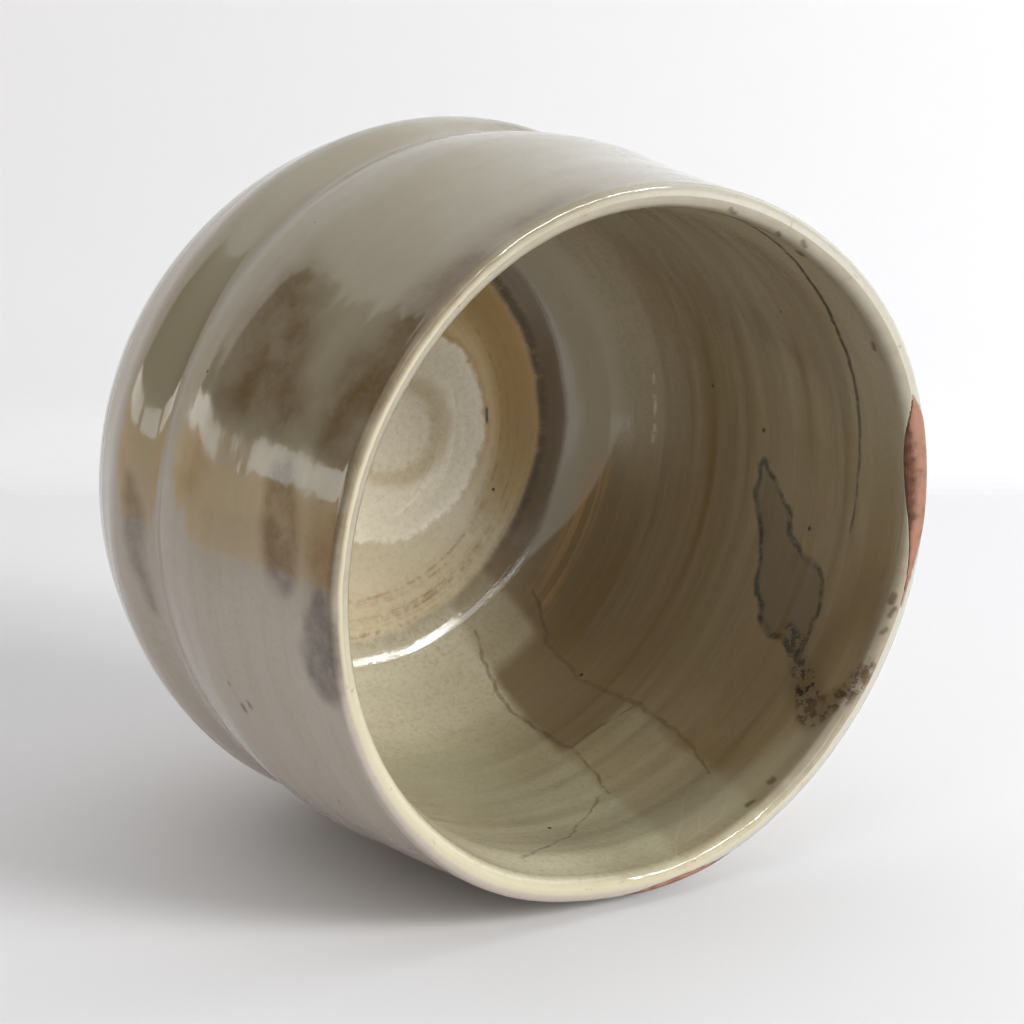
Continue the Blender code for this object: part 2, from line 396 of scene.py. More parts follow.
join(clay_tree, clay_bump.outputs[0], clay_shader.inputs["Normal"])
clay_shader.inputs["Roughness"].default_value = 0.85
clay.data.materials.append(clay_material)
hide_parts("clay_body")
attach(clay, "root")

# Glaze: one glossy feldspar glaze, poured into the cup and then run over its outside, so two coats
# meet on the crest of the lip. They follow the clay, so the surface is laid out once for both, with a
# squarer outer edge at the lip, the nicks worn along it, and the rings left by the fingers.
COAT = 0.4
CLEARANCE = 0.3
GLAZE_LINE_HEIGHT = 7.5
GLAZE_LINE_WAVE = 0.7
LINE_WAVES = ((3, 0.4, 0.625), (5, 2.0, 0.375))
LINE_WAVE_REACH = 6.0
GLAZE_EDGE = 1.0
GLAZE_EDGE_ROWS = 8
WELL_MIDDLE_GAP = 0.2
GLAZE_TURNS = 384
WALL_SPACING = 0.5
LIP_SPACING = 0.12
LIP_SQUARENESS = 4.0
LIP_REACH = 3.0
SPIRAL_PITCH = 6.4
SPIRAL_EYE = (-5.2, -0.8)
SPIRAL_START = 1.31
SPIRAL_RISE = 0.035
SPIRAL_RADIUS = 13.0
SPIRAL_FADE = 0.8
SPIRAL_EYE_SIZE = 2.0
FINGER_LINES = ((3.1, 0.022, 0.4), (1.7, 0.01, 2.2), (5.3, 0.03, 4.0))
FINGER_LINE_DRIFT = 6.0
FINGER_LINES_OUTSIDE = 0.35
FINGER_LINES_FLOOR = 0.12
FLAT_FLOOR_RADIUS = 21.0
FLAT_FLOOR_FADE = 6.0
PLAIN_MIDDLE_RADIUS = 8
PLAIN_LIP_REACH = 3.0
NICK_REACH = 0.9
LIP_NICKS = ((23, 3, 0.3, 0.03), (41, 6, 1.9, 0.028), (67, 10, 4.4, 0.022), (97, 15, 2.7, 0.016))

glaze_wall = clay_outside()
glaze_wall = glaze_wall[glaze_wall[:, 1] > GLAZE_LINE_HEIGHT - 2 * GLAZE_LINE_WAVE]
lip_curve = lip_edge(lip_round + CLEARANCE + COAT, LIP_SQUARENESS)
glaze_sides = [moved_out(side, CLEARANCE + COAT) for side in (glaze_wall, clay_inside())]
glaze_curve = np.concatenate([glaze_sides[0], lip_curve, glaze_sides[1]])
glaze_run = lengths(glaze_curve)
line_run = np.interp(GLAZE_LINE_HEIGHT, glaze_curve[: len(glaze_wall), 1], glaze_run[: len(glaze_wall)])
crest_run = glaze_run[len(glaze_wall) + len(lip_curve) // 2]
whole_run = glaze_run[-1]


def glaze_surface(run, angle):
    """Points of the glaze at distances along its curve and angles round it."""
    wave = sum(share * np.sin(waves * angle + start) for waves, start, share in LINE_WAVES)
    run = run + GLAZE_LINE_WAVE * wave * hump(run - line_run, LINE_WAVE_REACH)
    radius = np.interp(run, glaze_run, glaze_curve[:, 0])
    height = np.interp(run, glaze_run, glaze_curve[:, 1])
    return as_thrown(radius, height, angle, run < crest_run)


def grid_normals(grid, closed=True):
    along = np.gradient(grid, axis=0)
    if closed:
        around = np.roll(grid, -1, axis=1) - np.roll(grid, 1, axis=1)
    else:
        around = np.gradient(grid, axis=1)
    normal = np.cross(around, along)
    return normal / np.linalg.norm(normal, axis=2)[:, :, None]


def finger_marks(run, angle):
    """How far the thrown rings stand up, with the spiral of the well's floor."""
    rings = 0
    for pitch, rise, start in FINGER_LINES:
        turn = 2 * math.pi * run / pitch + angle + start
        rings = rings + rise * np.sin(turn + np.sin(run / FINGER_LINE_DRIFT))
    radius = np.interp(run, glaze_run, glaze_curve[:, 0])
    inside_share = np.clip((radius - FLAT_FLOOR_RADIUS) / FLAT_FLOOR_FADE, FINGER_LINES_FLOOR, 1)
    share = np.where(run < crest_run, FINGER_LINES_OUTSIDE, inside_share)
    rings = rings * (1 - hump(run - crest_run, PLAIN_LIP_REACH)) * share
    for waves, groups, start, rise in LIP_NICKS:
        ragged = 0.5 + 0.5 * np.sin(groups * angle + start)
        rings = rings + rise * np.sin(waves * angle + start) * ragged * hump(run - crest_run, NICK_REACH)
    on_floor = (run > crest_run) / (1 + np.exp((radius - SPIRAL_RADIUS) / SPIRAL_FADE))
    from_eye_x = radius * np.cos(angle) - SPIRAL_EYE[0]
    from_eye_y = radius * np.sin(angle) - SPIRAL_EYE[1]
    from_eye = np.hypot(from_eye_x, from_eye_y)
    eye_turn = np.arctan2(from_eye_y, from_eye_x)
    spiral = np.cos(2 * math.pi * from_eye / SPIRAL_PITCH + eye_turn - SPIRAL_START)
    spiral = -SPIRAL_RISE * spiral * np.clip(from_eye / SPIRAL_EYE_SIZE, 0, 1)
    edge = np.clip((run - line_run) / GLAZE_EDGE, 0, 1)
    rolled_edge = COAT * (1 - np.sqrt(1 - (1 - edge) ** 2))
    return rings * np.clip(radius / PLAIN_MIDDLE_RADIUS, 0, 1) + spiral * on_floor - rolled_edge


# The two chips of the lip, as lens shapes along it: middle and half angle, half width along the glaze
# curve, place of the widest point, and shift from the crest towards the inside.
LONG_CHIP = {"middle": 176, "half": 21.5, "width": 1.75, "skew": 0.5, "shift": -0.1}
SHORT_CHIP = {"middle": 96.4, "half": 14.5, "width": 0.75, "skew": 0.0, "shift": -1.3}
CHIP_DEPTH = 0.28
CHIP_TAPER = 1.5
CHIP_STEEPNESS = 4
CHIP_LEAST_WIDTH = 0.02


def chip_width(chip, angle):
    """Half width of a chip at an angle, in mm."""
    along = np.clip(turned_between(angle, chip["middle"]) / chip["half"], -1, 1)
    along = along - chip["skew"] * (1 - along**2)
    return chip["width"] * np.clip(1 - along**2, 0, 1) ** CHIP_TAPER


def chip_depth(chip, run, angle):
    """How far a chip goes in, flat in its middle and steep at its sides."""
    width = chip_width(chip, angle)
    across = (run - crest_run - chip["shift"]) / np.maximum(width, CHIP_LEAST_WIDTH)
    return CHIP_DEPTH * np.clip((1 - across**2) * CHIP_STEEPNESS, 0, 1) * (width > CHIP_LEAST_WIDTH)


edge_places = line_run + np.linspace(0, GLAZE_EDGE, GLAZE_EDGE_ROWS)
outer_steps = round((crest_run - LIP_REACH - line_run) / WALL_SPACING)
wall_places = np.linspace(edge_places[-1], crest_run - LIP_REACH, outer_steps)
outer_places = np.concatenate([edge_places[:-1], wall_places])
lip_places = crest_run + np.linspace(-LIP_REACH, LIP_REACH, 2 * round(LIP_REACH / LIP_SPACING) + 1)
inner_steps = round((whole_run - crest_run - LIP_REACH) / WALL_SPACING)
inner_places = np.linspace(crest_run + LIP_REACH, whole_run - WELL_MIDDLE_GAP, inner_steps)
places = np.concatenate([outer_places[:-1], lip_places, inner_places[1:]])
crest_row = len(outer_places) - 1 + len(lip_places) // 2
turns = np.linspace(0, 2 * math.pi, GLAZE_TURNS, endpoint=False)
run_grid, angle_grid = np.meshgrid(places, turns, indexing="ij")
smooth_grid = glaze_surface(run_grid, angle_grid)
relief = finger_marks(run_grid, angle_grid)
for lip_chip in (LONG_CHIP, SHORT_CHIP):
    relief = relief - chip_depth(lip_chip, run_grid, angle_grid)
glaze_grid = smooth_grid + grid_normals(smooth_grid) * relief[:, :, None]
glaze_normals = grid_normals(glaze_grid)


BACK_STEP = 4


def coat_piece(name, rows, closed_middle):
    """A coat with its face, a plainer back, and edges between them, shaded as part of the whole surface."""
    face, normals, face_runs = glaze_grid[rows], glaze_normals[rows], places[rows]
    turns = face.shape[1]
    back_rows = np.unique(np.r_[np.arange(0, len(face), BACK_STEP), len(face) - 1])
    back = (face - normals * COAT)[back_rows]
    front_count, back_count = len(face) * turns, len(back) * turns
    points = np.concatenate([face.reshape(-1, 3), back.reshape(-1, 3)])
    faces = band_faces(len(face), turns).tolist()
    front_corners = len(faces) * 4
    faces += band_faces(len(back), turns, front_count)[:, ::-1].tolist()
    column = np.arange(turns)
    beside = (column + 1) % turns
    faces += np.stack([beside, column, front_count + column, front_count + beside], axis=-1).tolist()
    last, back_last = front_count - turns, front_count + back_count - turns
    if closed_middle:
        points = np.concatenate([points, [[0, 0, face[-1, 0, 2]], [0, 0, back[-1, 0, 2]]]])
        faces += fan_faces(last, turns, len(points) - 2, True).tolist()
        faces += fan_faces(back_last, turns, len(points) - 1, False).tolist()
    else:
        edge = [last + column, last + beside, back_last + beside, back_last + column]
        faces += np.stack(edge, axis=-1).tolist()
    piece = new_piece(name, points, faces)
    mesh = piece.data
    crest_distance = np.zeros(len(mesh.vertices), dtype=np.float32)
    crest_distance[:front_count] = np.repeat(face_runs - crest_run, turns)
    mesh.attributes.new("from_crest", "FLOAT", "POINT").data.foreach_set("value", crest_distance)
    corner = np.empty(len(mesh.loops), dtype=np.int32)
    mesh.loops.foreach_get("vertex_index", corner)
    shading = np.zeros((len(mesh.loops), 3), dtype=np.float32)
    shading[:front_corners] = normals.reshape(-1, 3)[corner[:front_corners]]
    mesh.normals_split_custom_set(shading.tolist())
    return piece


UNROLL_RADIUS = 29.6
STROKE_BLEND = 0.3


def from_crest(tree):
    """Distance from the crest of the lip along the glaze in mm, from the mesh."""
    return put(tree, "Attribute", attribute_name="from_crest").outputs["Fac"]


def unrolled_stop(inside, azimuth, height):
    """A place on a coat laid flat: mm round the cup from its middle line, and mm from the crest."""
    part = (glaze_run >= crest_run) if inside else (glaze_run <= crest_run)
    order = np.argsort(glaze_curve[part][:, 1])
    run = np.interp(height, glaze_curve[part][order, 1], glaze_run[part][order])
    turn = (azimuth - (180 if inside else 0) + 180) % 360 - 180
    return (math.radians(turn) * UNROLL_RADIUS, run - crest_run, 0)


def unrolled(tree, point, inside, wander_size, wander):
    """The place on a coat laid flat in the same way, moved about by noise so that drawn edges wander."""
    parts = put(tree, "SeparateXYZ", {0: stretched(tree, point, -1.0 if inside else 1.0)})
    turn = maths(tree, "ARCTAN2", parts.outputs[1], parts.outputs[0])
    round_cup = times(tree, turn, UNROLL_RADIUS)
    flat = put(tree, "CombineXYZ", {0: round_cup, 1: from_crest(tree)}).outputs[0]
    noise = put(tree, "TexNoise", {"Vector": point, "Scale": 1 / wander_size, "Detail": 3.0})
    shift = vectors(tree, "SUBTRACT", noise.outputs[1], (0.5, 0.5, 0.5))
    return vectors(tree, "MULTIPLY_ADD", shift, (wander, wander, 0.0), flat)


# Distance in mm to a stroke of the brush or a run of stain, between two points with a width at each.
stroke_sockets = [("Point", "Vector"), ("Start", "Vector"), ("End", "Vector")]
stroke_sockets += [("Start Width", "Float"), ("End Width", "Float")]
stroke_group, stroke_in, stroke_out = new_group("stroke", stroke_sockets, ["Distance"])
from_start = vectors(stroke_group, "SUBTRACT", stroke_in.outputs["Point"], stroke_in.outputs["Start"])
whole_way = vectors(stroke_group, "SUBTRACT", stroke_in.outputs["End"], stroke_in.outputs["Start"])
reach = vectors(stroke_group, "DOT_PRODUCT", from_start, whole_way)
share = maths(stroke_group, "DIVIDE", reach, vectors(stroke_group, "DOT_PRODUCT", whole_way, whole_way))
share = put(stroke_group, "Clamp", {0: share}).outputs[0]
way = stretched(stroke_group, whole_way, share)
away = vectors(stroke_group, "LENGTH", vectors(stroke_group, "SUBTRACT", from_start, way))
start_width, end_width = (stroke_in.outputs[name] for name in ("Start Width", "End Width"))
width_change = maths(stroke_group, "SUBTRACT", end_width, start_width)
width_here = maths(stroke_group, "MULTIPLY_ADD", width_change, share, start_width)
join(stroke_group, maths(stroke_group, "SUBTRACT", away, width_here), stroke_out.inputs["Distance"])


def stroke_distance(tree, point, inside, stops):
    """Distance to a run of strokes through (azimuth, height, half width) stops on one of the coats."""
    nearest = None
    for start, end in zip(stops, stops[1:]):
        ends = {"Start": unrolled_stop(inside, *start[:2]), "End": unrolled_stop(inside, *end[:2])}
        widths = {"Start Width": start[2], "End Width": end[2]}
        stroke = use_group(tree, stroke_group, {"Point": point, **ends, **widths})["Distance"]
        nearest = stroke if nearest is None else maths(tree, "SMOOTH_MIN", nearest, stroke, STROKE_BLEND)
    return nearest


# Pale rim: the glaze runs thin and cream-coloured over the lip, and is worn through on its crest.
rim_sockets = [("Point", "Vector"), ("From Crest", "Float"), ("Width", "Float"), ("Fade", "Float")]
rim_group, rim_in, rim_out = new_group("pale_rim", rim_sockets, ["Rim", "Worn"])
rim_far = maths(rim_group, "ABSOLUTE", rim_in.outputs["From Crest"])
rim_noise = cloud(rim_group, rim_in.outputs["Point"], 3.0, 5.0, 0.6)
rim_wander = graded(rim_group, rim_noise, 0.3, 0.7, 0.6, 1.2)
rim_start = times(rim_group, rim_in.outputs["Width"], rim_wander)
rim_end = maths(rim_group, "ADD", rim_start, rim_in.outputs["Fade"])
join(rim_group, fading(rim_group, rim_far, rim_start, rim_end), rim_out.inputs["Rim"])
rim_top = fading(rim_group, rim_far, 0.25, 0.7)
rim_bare = graded(rim_group, cloud(rim_group, rim_in.outputs["Point"], 1.8, 5.0, 0.7), 0.6, 0.72)
join(rim_group, times(rim_group, rim_top, rim_bare), rim_out.inputs["Worn"])

RIM_CREAM = (0.56, 0.50, 0.35)
RIM_GREY = (0.36, 0.325, 0.25)
RIM_WORN = (0.30, 0.19, 0.11)
GLAZE_IOR = 1.58

# Outside coat: grey-olive, with brown clouds, partly where tea and smoke have got into it and partly a
# painted dark reflection of the room on the left, a painted lilac-grey reflection of the white sheet on
# the side that lies towards it, and blotches of dark stain that soaked in through pinholes.
OUTSIDE_GREY = (0.35, 0.312, 0.225)
OUTSIDE_OLIVE = (0.30, 0.255, 0.165)
SHEET_REFLECTION_LILAC = (0.43, 0.37, 0.31)
OUTSIDE_PALE = (0.50, 0.485, 0.43)
OUTSIDE_BROWN = (0.135, 0.082, 0.032)
OUTSIDE_STAIN = (0.075, 0.048, 0.036)
# Runs of strokes through (azimuth, height, half width) stops: blotches have two depths before their stops
SMUDGES_AND_DARK_REFLECTIONS = (
    [(-44, 39.5, 2.0), (-36, 41.0, 4.5), (-29, 42.5, 4.0), (-26, 47.0, 2.0)],
    [(-78, 56.2, 0.3), (-60, 55.8, 1.0), (-46, 55.4, 2.0), (-34, 54.2, 2.8), (-26, 53.5, 1.5)],
    [(134, 27.0, 2.0), (144, 36.0, 3.5), (155, 41.0, 1.5)],
    [(-120, 20.0, 2.0), (-100, 30.0, 4.0)],
    [(-17, 55.0, 0.3), (-10, 55.2, 0.9), (-4, 56.0, 0.3)],
    [(-25, 36.8, 0.3), (-18, 36.8, 0.9), (-14, 36.4, 0.3)],
    [(-58, 57.2, 0.3), (-42, 57.4, 1.0), (-24, 57.4, 1.0), (-8, 57.4, 0.9), (10, 57.2, 0.3)],
)
BLOTCHES = (
    (0.8, 0.0, [(-16.5, 49.3, 2.3), (-11.8, 49.9, 2.8), (-7.0, 50.4, 2.6), (-4.5, 50.9, 1.8)]),
    (0.8, 0.3, [(-2.0, 56.6, 1.2), (3.0, 56.3, 2.2), (7.0, 55.9, 2.6), (8.4, 55.9, 2.4)]),
    (0.6, 0.2, [(-8.0, 25.4, 0.7), (-4.5, 25.8, 1.4), (-1.0, 26.0, 1.4), (4.0, 26.5, 1.0),
                (12.0, 27.3, 0.5)]),
    (0.5, 0.3, [(205, 30.0, 1.0), (214, 27.0, 1.6)]),
)
RIM_FACING = (0.82, 0.57, 0.0)
OUTSIDE_SPECKS = ((22.4, 40.8, 0.3), (21.2, 42.0, 0.2), (18.6, 40.2, 0.1))
SPECK_LENGTH = 0.3
GROOVE = (29.0, 30.8)
outer_coat = coat_piece("outside_glaze_coat", slice(0, crest_row + 1), False)
outer_material, outer, outer_shader = new_material("outside_glaze")
outer_point = surface_point(outer)
outer_parts = put(outer, "SeparateXYZ", {0: outer_point}).outputs
outer_flat = unrolled(outer, outer_point, False, 5.0, 2.0)
outer_lines = use_group(outer, ring_group, {"Point": outer_point, "Spacing": 2.2})["Lines"]
outer_colour = Layers(outer, OUTSIDE_GREY)
outer_colour.lay(OUTSIDE_OLIVE, graded(outer, cloud(outer, outer_point, 16, 4), 0.36, 0.64, 0.0, 0.7))
place_clouds = cloud(outer, outer_point, 9, 4)
# Painted reflection: lilac-grey on the side that lies towards the white sheet, standing for the sheet
# reflected in the glaze.
sheet_side_place = maths(outer, "MULTIPLY_ADD", place_clouds, 7, outer_parts[1])
outer_colour.lay(SHEET_REFLECTION_LILAC, graded(outer, sheet_side_place, -7, 7))
back_place = maths(outer, "MULTIPLY_ADD", place_clouds, 7, outer_parts[0])
outer_colour.lay(OUTSIDE_PALE, fading(outer, back_place, -6, 14, 0.8))
groove = within(outer, outer_parts[2], *GROOVE, 1.2)
outer_colour.lay(OUTSIDE_BROWN, groove, graded(outer, sheet_side_place, -7, 7, 0.4, 0.1))
outer_colour.lay(OUTSIDE_OLIVE, graded(outer, outer_lines, 0.45, 0.75, 0.0, 0.3))
smudge_and_reflection_breaks = graded(outer, cloud(outer, outer_point, 4.0, 4.0, 0.55), 0.3, 0.7, 0.45, 0.9)
# Partly painted dark reflection: the first, second and last strokes, on the upper left and up to the lip,
# stand for the dark room reflected there.
for stops in SMUDGES_AND_DARK_REFLECTIONS:
    far = stroke_distance(outer, outer_flat, False, stops)
    outer_colour.lay(OUTSIDE_BROWN, fading(outer, far, -2.5, 3.5), smudge_and_reflection_breaks)
blotch_breaks = graded(outer, cloud(outer, outer_point, 2.0, 4.0, 0.6), 0.3, 0.7, 0.65, 1.0)
for depth, edge_depth, stops in BLOTCHES:
    far = stroke_distance(outer, outer_flat, False, stops)
    soaked = fading(outer, far, -1.0, 0.9, depth)
    dried_edge = times(outer, within(outer, far, -0.15, 0.2, 0.25), edge_depth)
    outer_colour.lay(OUTSIDE_STAIN, maths(outer, "MAXIMUM", soaked, dried_edge), blotch_breaks)
for azimuth, height, size in OUTSIDE_SPECKS:
    ends = [(azimuth, height, size), (azimuth + SPECK_LENGTH, height, size)]
    far = stroke_distance(outer, outer_flat, False, ends)
    outer_colour.lay(OUTSIDE_STAIN, fading(outer, far, -0.2, 0.25, 0.7))
outer_mottle = cloud(outer, outer_point, 0.6, 5.0, 0.7)
outer_colour.lay(OUTSIDE_OLIVE, graded(outer, outer_mottle, 0.4, 0.75, 0.0, 0.25))
outer_pits = use_group(outer, pit_group, {"Point": outer_point, "Spacing": 5.0, "Size": 0.2})["Mask"]
outer_colour.lay(OUTSIDE_STAIN, outer_pits)
rim_place = {"Point": outer_point, "From Crest": from_crest(outer), "Width": 0.14, "Fade": 0.45}
outer_rim = use_group(outer, rim_group, rim_place)
rim_turn = vectors(outer, "DOT_PRODUCT", outer_point, RIM_FACING)
outer_colour.lay(RIM_CREAM, outer_rim["Rim"], graded(outer, rim_turn, -16, 12, 0.25, 0.9))
outer_colour.lay(RIM_WORN, outer_rim["Worn"])
join(outer, outer_colour.top, outer_shader.inputs["Base Color"])
outer_gloss = graded(outer, cloud(outer, outer_point, 5.0, 4.0), 0.3, 0.75, 0.06, 0.13)
join(outer, outer_gloss, outer_shader.inputs["Roughness"])
outer_relief = times(outer, cloud(outer, outer_point, 2.2, 2.0), 0.7)
outer_relief = maths(outer, "ADD", outer_relief, outer_lines)
outer_relief = maths(outer, "SUBTRACT", outer_relief, outer_pits)
outer_bump = put(outer, "Bump", {"Height": outer_relief, "Distance": 0.05 * MM, "Strength": 0.5})
join(outer, outer_bump.outputs[0], outer_shader.inputs["Normal"])
outer_shader.inputs["IOR"].default_value = GLAZE_IOR
outer_coat.data.materials.append(outer_material)
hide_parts("outer_glaze")
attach(outer_coat, "root")

# Inside coat: the same glaze pooled in the well, pale in the middle of the floor, golden round it, and
# olive-brown up the wall, with tide lines, a dark stain and a hairline crack from years of use.
WALL_OLIVE = (0.34, 0.28, 0.175)
WALL_BROWN = (0.235, 0.165, 0.085)
WALL_GREEN = (0.425, 0.40, 0.27)
WASH_GREEN = (0.31, 0.285, 0.19)
WALL_GREY = (0.31, 0.263, 0.183)
WALL_PALE = (0.66, 0.605, 0.445)
FLOOR_PALE = (0.87, 0.80, 0.64)
FLOOR_GOLD = (0.64, 0.465, 0.205)
FLOOR_OLIVE = (0.63, 0.56, 0.40)
GOLD_DARK = (0.37, 0.225, 0.07)
SWIRL_GOLD = (0.56, 0.44, 0.25)
CORNER_DARK = (0.06, 0.042, 0.025)
CORNER_BROWN_AND_SHADE = (0.155, 0.10, 0.045)
CORNER_GREY = (0.42, 0.375, 0.30)
STAIN_FILL = (0.11, 0.078, 0.045)
STAIN_LINE = (0.03, 0.022, 0.016)
TIDE_WASH = (0.18, 0.125, 0.062)
TIDE_LINE = (0.12, 0.08, 0.045)
SPECK_BROWN = (0.10, 0.06, 0.03)
RUST_TINT = (0.56, 0.34, 0.16)
CRACKLE_PALE = (0.62, 0.58, 0.46)
DISC_MIDDLE = (-3.1, 0, 0)
DISC_RADIUS = 11.5
GOLD_RADIUS = 20.6
DARK_RADIUS = 23.2
GREY_RADIUS = 27.0
# Runs of strokes through (azimuth, height, half width) stops
TIDES = (
    [(117, 14.0, 0.0), (114.6, 15.6, 0.05), (110.2, 19.7, 0.1), (108.4, 24.6, 0.1), (108.5, 32.9, 0.1),
     (102.8, 43.3, 0.0)],
    [(134, 15.0, 0.0), (132.2, 16.2, 0.05), (126.2, 19.2, 0.1), (123, 25.5, 0.1), (123.9, 34.8, 0.12),
     (120.9, 44.4, 0.08), (116.9, 50.2, 0.0)],
    [(108.5, 32.9, 0.05), (116, 33.2, 0.08), (123.9, 34.8, 0.05)],
    [(67.8, 54, 0.0), (84, 49, 0.02), (100.5, 43.2, 0.0)],
)
HAIRLINE = [(-108, 56.6, 0.0), (-126.6, 54.9, 0.04), (-146.3, 52.8, 0.07), (-163.9, 52.2, 0.08),
            (-176, 51.6, 0.04), (170.4, 51.1, 0.0)]
STAIN = [(176.6, 37.5, 0.6), (171.9, 38.3, 1.8), (167.6, 40.0, 2.3), (162.7, 40.8, 2.1), (158.0, 43.1, 3.4),
         (154.5, 45.6, 4.1), (149.1, 47.8, 2.1), (144.6, 49.8, 0.5)]
STAIN_TAIL = [(146, 49.2, 0.6), (141, 52.0, 1.0), (137.0, 55.2, 1.3)]
STAIN_DOTS = [(148.5, 46.6, 0.4), (146.0, 49.0, 1.0), (143.5, 50.5, 0.6), (140.0, 52.4, 0.4),
              (136.5, 54.4, 0.8)]
SPECK_TRAIL = [(136.5, 54.6, 0.6), (139.2, 56.0, 0.8), (143.1, 57.1, 0.6), (148.0, 57.7, 0.3)]
FLOOR_SCRATCH = (-15.0, -0.15, 10.7)
PAINTED_HIGHLIGHT_STREAK = [(-171, 21.4, 0.0), (-178, 21.5, 0.04), (175, 21.3, 0.0)]
GREEN_WASH = [(104, 52.5, 2.0), (114, 54.0, 2.0), (124, 55.6, 1.5), (133, 56.0, 0.8)]
BROWN_WASH = [(142, 54.0, 1.0), (149, 52.5, 1.8), (157, 54.5, 1.8), (164, 55.5, 0.8)]
RUST = [(168.2, 16.2, 0.4), (156.9, 15.5, 0.8), (145.0, 15.5, 0.8), (133.5, 16.0, 0.4)]
LIP_SPOTS = ((-107.5, 57.6, 0.15), (-118.8, 57.3, 0.12), (-123.9, 57.7, 0.12), (-126.8, 56.3, 0.25),
             (-151.6, 56.1, 0.15), (161.0, 57.5, 0.3), (158.7, 57.7, 0.2), (155.4, 57.7, 0.12),
             (146.3, 57.8, 0.2), (121.6, 56.0, 0.22), (115.6, 56.3, 0.22))
PAINTED_LIGHT_FOOT = (17, 28)
PALE_MOUTH = (40, 48)
TIDE_BAND = (17.8, 33.2)
LOW_BROWN = (15.0, 25.0)
PAINTED_LIGHT_FAR_FOOT = (18, 30)
CRACKLED = (46, 52)
CRACKLE_SIZE = 5.0
BROWN_RINGS = (16.5, 20.5)
SCRATCH_RING = (14.8, 15.1)
SWIRL_RING = (2.0, 3.8)
SWIRL_END = (6.0, 7.5)
SWIRL_LAG = 1.3
DULL_RADIUS = 16.0
GRAINY_CORNER = (22.0, 27.0)
# Where one colour of the wall gives way to another: azimuth, lean with height, height of the middle
FIRST_TIDE = (108, 0.2, 28)
LAST_TIDE = (123, 0.15, 30)
GREY_WALL = (185, 0.1, 30)
GREY_BAND_END = (161, -3.6, 15.7)
# The same for upright planes, by azimuth alone
PALE_MOUTH_END = 80
FAR_SIDE = 168
FLOOR_SPLIT = 150
RING_TOP = 225
inner_coat = coat_piece("inside_glaze_coat", slice(crest_row, None), True)
inner_material, inner, inner_shader = new_material("inside_glaze")
inner_point = surface_point(inner)
inner_across = vectors(inner, "MULTIPLY", inner_point, (1, 1, 0))
inner_radius = vectors(inner, "LENGTH", inner_across)
inner_height = put(inner, "SeparateXYZ", {0: inner_point}).outputs[2]
inner_flat = unrolled(inner, inner_point, True, 3.0, 1.5)
inner_clouds = cloud(inner, inner_point, 11, 5.0)
cloud_shift = maths(inner, "SUBTRACT", inner_clouds, 0.5)
line_breaks = cloud(inner, inner_point, 1.4, 4.0, 0.6)


def inner_lines(spacing):
    return use_group(inner, ring_group, {"Point": inner_point, "Spacing": spacing})["Lines"]


def clouded(value, amount):
    """A value moved up and down by the clouds, so that an edge drawn with it wanders."""
    return maths(inner, "MULTIPLY_ADD", cloud_shift, amount, value)


def beyond_plane(azimuth, lean=0.0, middle=0.0):
    """Distance in mm past an upright plane through the axis, leaning with height, with clouded edges."""
    turn = math.radians(azimuth)
    flat = vectors(inner, "DOT_PRODUCT", inner_across, (-math.sin(turn), math.cos(turn), 0))
    leant = maths(inner, "MULTIPLY_ADD", maths(inner, "SUBTRACT", inner_height, middle), lean, flat)
    return clouded(leant, 3.0)


def broken(low, high, at_low=0.0, at_high=1.0):
    """A mask that breaks a line or a patch up."""
    return graded(inner, line_breaks, low, high, at_low, at_high)


def inner_stroke(stops, low, high, depth=1.0):
    """A run of strokes as a mask, which fades between two distances from its edge."""
    return fading(inner, stroke_distance(inner, inner_flat, True, stops), low, high, depth)


# Walls
wide_lines = inner_lines(2.6)
broad_lines = inner_lines(6.5)
fine_lines = inner_lines(0.55)
inner_colour = Layers(inner, WALL_GREEN)
inner_colour.lay(WALL_OLIVE, graded(inner, inner_clouds, 0.35, 0.7, 0.0, 0.6))
past_first_tide = graded(inner, beyond_plane(*FIRST_TIDE), -0.6, 0.8)
past_last_tide = graded(inner, beyond_plane(*LAST_TIDE), -0.6, 1.0)
# Painted light: the foot of the wall is painted paler all round, for the window's light that falls low into
# the well.
inner_colour.lay(WALL_PALE, fading(inner, inner_height, *PAINTED_LIGHT_FOOT, 0.75))
first_side = fading(inner, beyond_plane(PALE_MOUTH_END), -4, 4, 0.45)
inner_colour.lay(WALL_PALE, graded(inner, inner_height, *PALE_MOUTH), first_side)
inner_colour.lay(WALL_OLIVE, past_first_tide, 0.7)
inner_colour.lay(TIDE_WASH, past_first_tide, within(inner, inner_height, *TIDE_BAND, 1.0), 0.8)
# Past the last tide the wall is painted brown: partly tea stain, partly painted shade on the far wall,
# which faces away from the window.
inner_colour.lay(WALL_BROWN, past_last_tide, 0.8)
inner_colour.lay(TIDE_WASH, past_last_tide, within(inner, inner_height, *LOW_BROWN, 2.5), 0.5)
inner_colour.lay(WALL_GREY, graded(inner, beyond_plane(*GREY_WALL), -6, 8))
wall_rings = graded(inner, past_last_tide, 0.0, 1.0, 0.12, 0.25)
inner_colour.lay(WALL_BROWN, graded(inner, wide_lines, 0.45, 0.7), wall_rings)
inner_colour.lay(WALL_BROWN, graded(inner, broad_lines, 0.4, 0.65, 0.0, 0.35), past_last_tide)
# Painted light: the foot of the far wall is painted a paler grey.
far_side = graded(inner, beyond_plane(FAR_SIDE), -4, 6)
inner_colour.lay(CORNER_GREY, fading(inner, inner_height, *PAINTED_LIGHT_FAR_FOOT, 0.7), far_side)
inner_colour.lay(WALL_PALE, graded(inner, fine_lines, 0.48, 0.66, 0.0, 0.045))
inner_mottle = cloud(inner, inner_point, 0.5, 5.0, 0.7)
inner_colour.lay(WALL_BROWN, graded(inner, inner_mottle, 0.42, 0.75, 0.0, 0.35))

